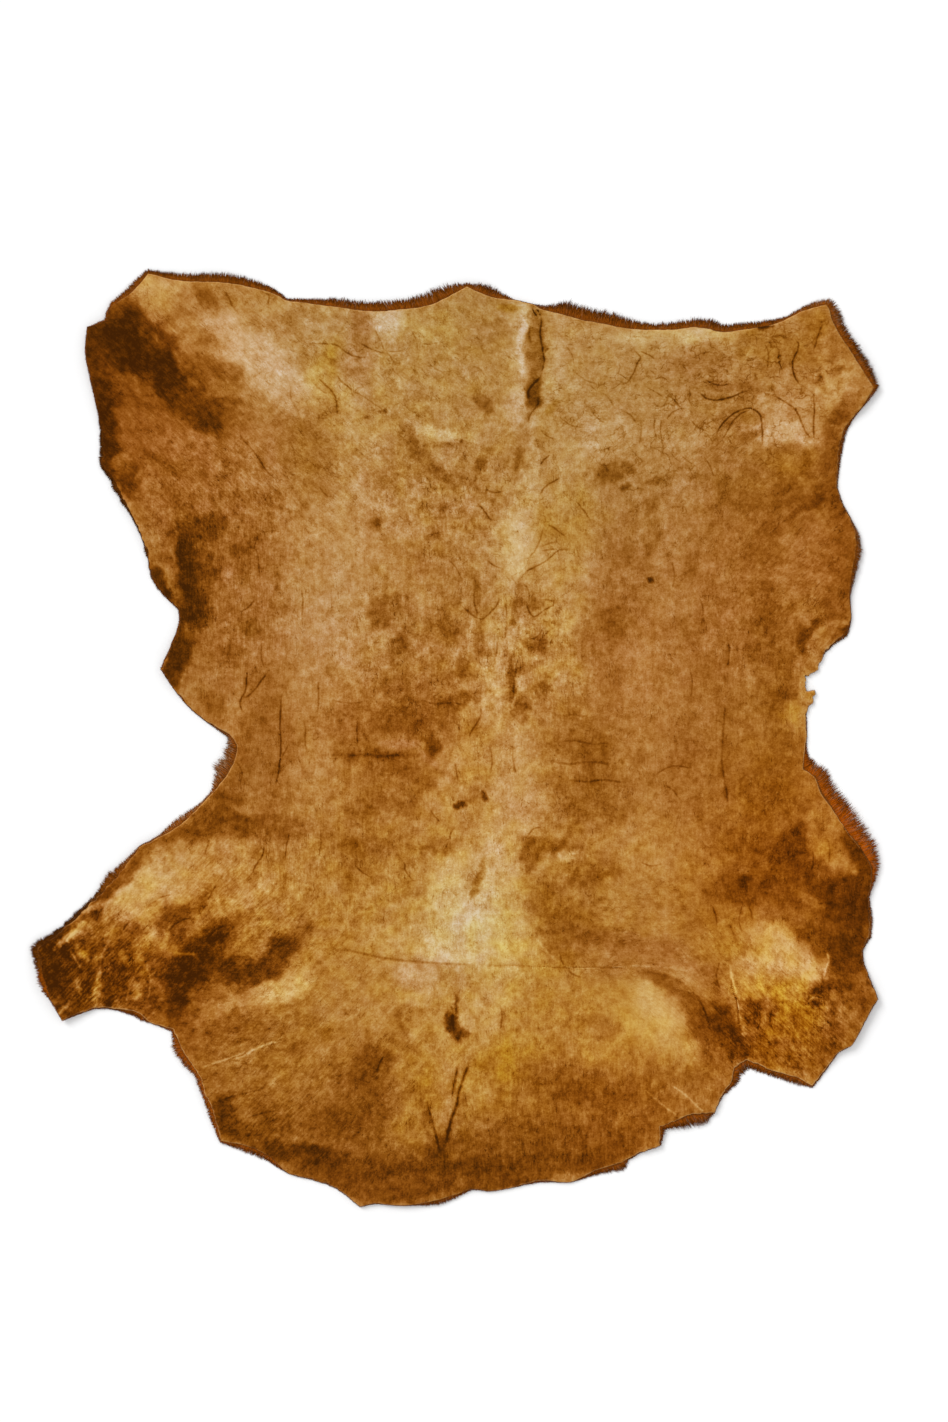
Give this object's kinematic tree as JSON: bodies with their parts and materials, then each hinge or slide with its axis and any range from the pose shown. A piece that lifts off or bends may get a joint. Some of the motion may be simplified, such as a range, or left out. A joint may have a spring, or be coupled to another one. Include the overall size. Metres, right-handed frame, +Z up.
{
  "type": "hair-on leather hide",
  "caption": "Whole hair-on leather hide spread flat with its flesh side up and a fringe of hair showing past its cut edge.",
  "frame": {"origin": "under the middle of the hide's box, on the surface that it lies on", "axes": "+Y along the spine towards the neck, +X towards the right-hand flank as seen from above, +Z up out of the flesh side"},
  "size_m": [1.9118, 2.114, 0.0264],
  "materials": {
    "leather": "dyed flesh side, napped and matt, mottled tan to dark brown",
    "hair": "short brindle cattle hair, reddish brown with dark tips"
  },
  "bodies": {
    "root": {"hide": "leather"}
  },
  "joints": []
}
